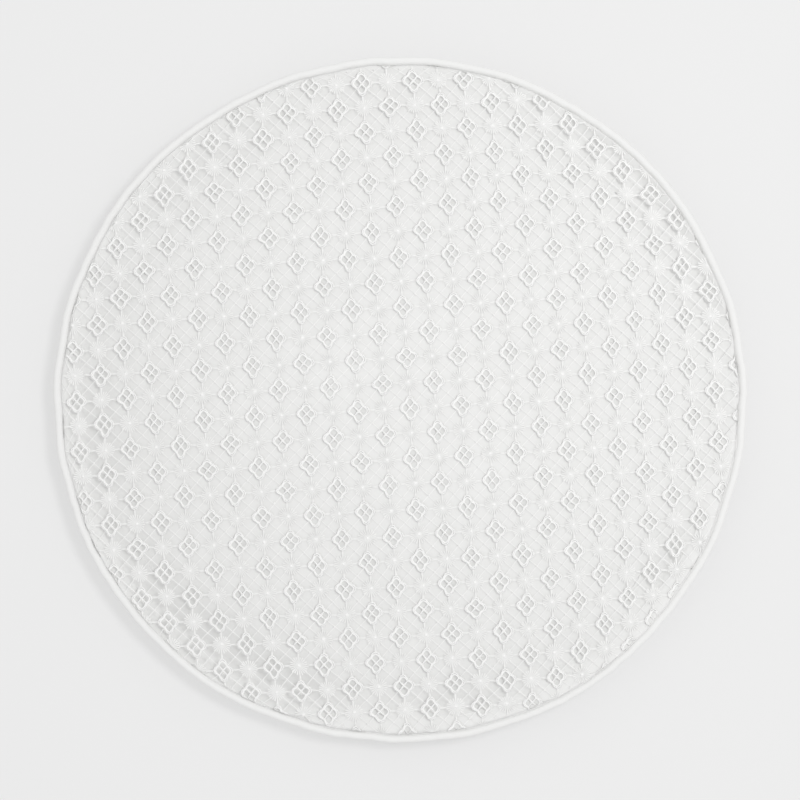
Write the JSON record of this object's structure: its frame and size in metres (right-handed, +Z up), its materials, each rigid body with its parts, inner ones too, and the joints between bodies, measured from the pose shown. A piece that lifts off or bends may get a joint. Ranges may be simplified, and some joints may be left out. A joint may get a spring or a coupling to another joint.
{
  "type": "round lace cushion",
  "caption": "Round, fairly flat cushion with a white lace face over a cotton lining, a piped rim and a zip in its side seam.",
  "frame": {"origin": "middle of the flat patch of the back that the cushion rests on", "axes": "+Z up through the lace face; the zip is in the side seam from -103 to -7 degrees about Z"},
  "size_m": [0.4, 0.4, 0.041],
  "materials": {
    "guipure_lace": "white cotton guipure, matt, with a raised satin-stitch cord",
    "lining_cotton": "plain woven white cotton, matt",
    "back_cotton": "plain woven off-white cotton canvas, matt",
    "bias_cotton": "white cotton bias strip, slightly puckered",
    "cotton_cord": "twisted cotton cord",
    "casing_cloth": "thin non-woven casing, matt",
    "fibre_filling": "hollow polyester fibre",
    "zip_tape": "herringbone woven polyester tape",
    "nylon_coil": "extruded nylon monofilament",
    "lacquered_zinc": "white lacquer on die-cast zinc",
    "nickel_stop": "bright nickel",
    "label_satin": "woven satin ribbon, blank"
  },
  "bodies": {
    "cushion": {"lace_panel": "guipure_lace", "front_lining": "lining_cotton", "back_panel": "back_cotton", "piping_cover": "bias_cotton", "piping_cord": "cotton_cord", "pad_casing_front": "casing_cloth", "pad_casing_back": "casing_cloth", "pad_filling": "fibre_filling", "zip_tape_upper": "zip_tape", "zip_tape_lower": "zip_tape", "zip_coil_upper": "nylon_coil", "zip_coil_lower": "nylon_coil", "zip_top_stop_upper": "nickel_stop", "zip_top_stop_lower": "nickel_stop", "zip_bottom_stop": "nickel_stop", "care_label": "label_satin"},
    "slider": {"zip_slider": "lacquered_zinc"},
    "pull": {"zip_pull": "lacquered_zinc"}
  },
  "joints": [
    {"name": "zip_run", "type": "hinge", "parent": "cushion", "child": "slider", "pos_m": [0, 0, 0.0156], "axis": [0, 0, 1], "range_deg": [0, 86]},
    {"name": "pull_swing", "type": "hinge", "parent": "slider", "child": "pull", "pos_m": [-0.02685, -0.19101, 0.01367], "axis": [0.0704, 0.501, -0.8626], "range_deg": [0, 170]}
  ]
}
